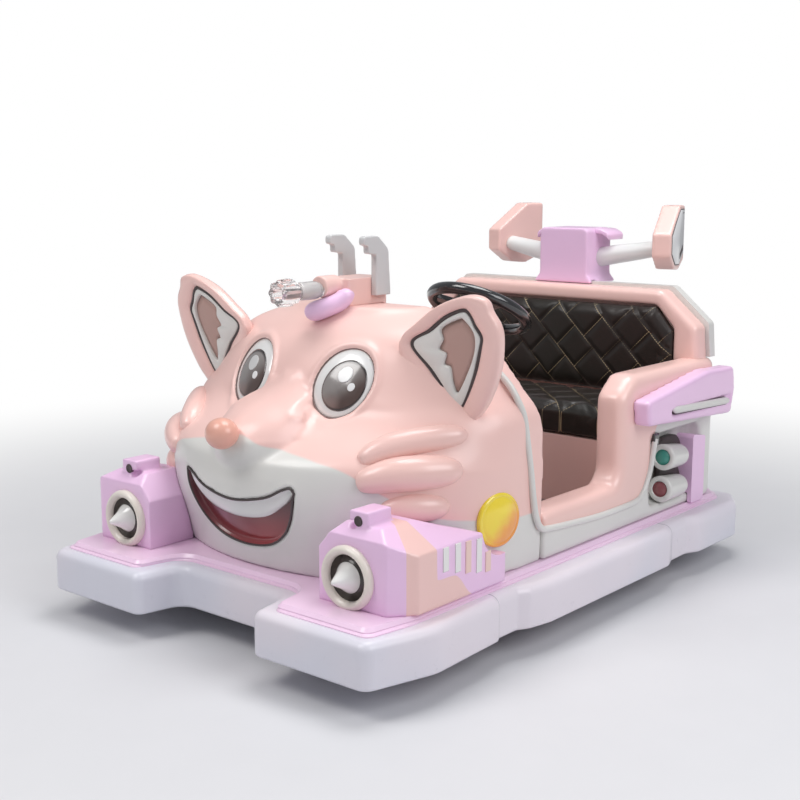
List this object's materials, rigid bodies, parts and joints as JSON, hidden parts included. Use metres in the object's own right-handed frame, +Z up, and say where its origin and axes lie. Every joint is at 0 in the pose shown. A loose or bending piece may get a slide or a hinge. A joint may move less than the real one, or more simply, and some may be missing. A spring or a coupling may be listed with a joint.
{
  "type": "battery bumper car",
  "caption": "Two-seat battery bumper car with an animal-face front body, ring bumper, open cockpit, quilted bench and rear spoiler.",
  "frame": {"origin": "on the floor under the middle of the overall box, wheels resting on the floor", "axes": "+Z up, +X to the machine's left, front of the car at -Y"},
  "size_m": [1.12, 1.6882, 0.971],
  "materials": {
    "bumper": "satin moulded bumper skin, pale lavender",
    "deck": "glossy pink-lilac gelcoat",
    "pink": "glossy salmon pink gelcoat, white-grey below the colour line",
    "lilac": "glossy lilac gelcoat",
    "white": "glossy white-grey gelcoat",
    "ivory": "ivory moulded ring",
    "pearl": "pearl white lens cone",
    "nose": "glossy orange-salmon",
    "black_trim": "glossy black",
    "clear": "clear moulded plastic",
    "grip": "light grey moulded grips",
    "upholstery": "black woven-pattern vinyl with tan stitching",
    "steel": "black powder-coated steel",
    "tyre": "solid rubber tread",
    "hub": "cast hub",
    "mat": "dark floor mat",
    "badge": "plain yellow-orange domed disc, blank",
    "battery": "battery case"
  },
  "bodies": {
    "car": {"back_panel": "white", "backrest_frame": "pink", "backrest_pad": "upholstery", "badges": "badge", "battery_box": "battery", "body": "pink", "bumper_front": "bumper", "bumper_rear": "bumper", "bumper_side_left": "bumper", "bumper_side_right": "bumper", "chassis_frame": "steel", "cheek_tufts": "pink", "curl": "lilac", "deck": "deck", "ear_insets": "white", "ears": "pink", "exhaust_housings": "deck", "exhaust_tubes": "white", "eyes": "white", "floor_mat": "mat", "gun_barrel": "clear", "gun_base": "pink", "gun_grips": "grip", "head": "pink", "headlight_cones": "pearl", "headlight_housings": "lilac", "headlight_rings": "ivory", "mouth": "nose", "nose": "nose", "pod_vents": "white", "rear_axles": "steel", "seat_base": "pink", "seat_cushion": "upholstery", "side_wings": "lilac", "spoiler_bar": "grip", "spoiler_mount": "lilac", "spoiler_plates": "pink", "steering_bearing": "steel", "steering_binnacle": "black_trim", "steering_column": "steel", "teeth": "white", "wing_bars": "white"},
    "drive_fork": {"drive_fork": "steel"},
    "drive_wheel": {"drive_tyre": "tyre", "drive_hub": "hub"},
    "wheel_rear_left": {"tyre_rear_left": "tyre", "hub_rear_left": "hub"},
    "wheel_rear_right": {"tyre_rear_right": "tyre", "hub_rear_right": "hub"},
    "steering_wheel": {"steering_wheel": "black_trim"}
  },
  "joints": [
    {"name": "steering", "type": "hinge", "parent": "car", "child": "steering_wheel", "pos_m": [0.15, -0.003, 0.725], "axis": [0, 0.5, 0.866], "continuous": true},
    {"name": "fork_swivel", "type": "hinge", "parent": "car", "child": "drive_fork", "pos_m": [0, -0.444, 0.1], "axis": [0, 0, 1], "continuous": true},
    {"name": "drive_spin", "type": "hinge", "parent": "drive_fork", "child": "drive_wheel", "pos_m": [0, -0.444, 0.1], "axis": [1, 0, 0], "continuous": true},
    {"name": "rear_left_spin", "type": "hinge", "parent": "car", "child": "wheel_rear_left", "pos_m": [0.395, 0.426, 0.1], "axis": [1, 0, 0], "continuous": true},
    {"name": "rear_right_spin", "type": "hinge", "parent": "car", "child": "wheel_rear_right", "pos_m": [-0.395, 0.426, 0.1], "axis": [1, 0, 0], "continuous": true}
  ],
  "couplings": [
    {"joint": "steering", "follows": "fork_swivel", "ratio": 1}
  ]
}
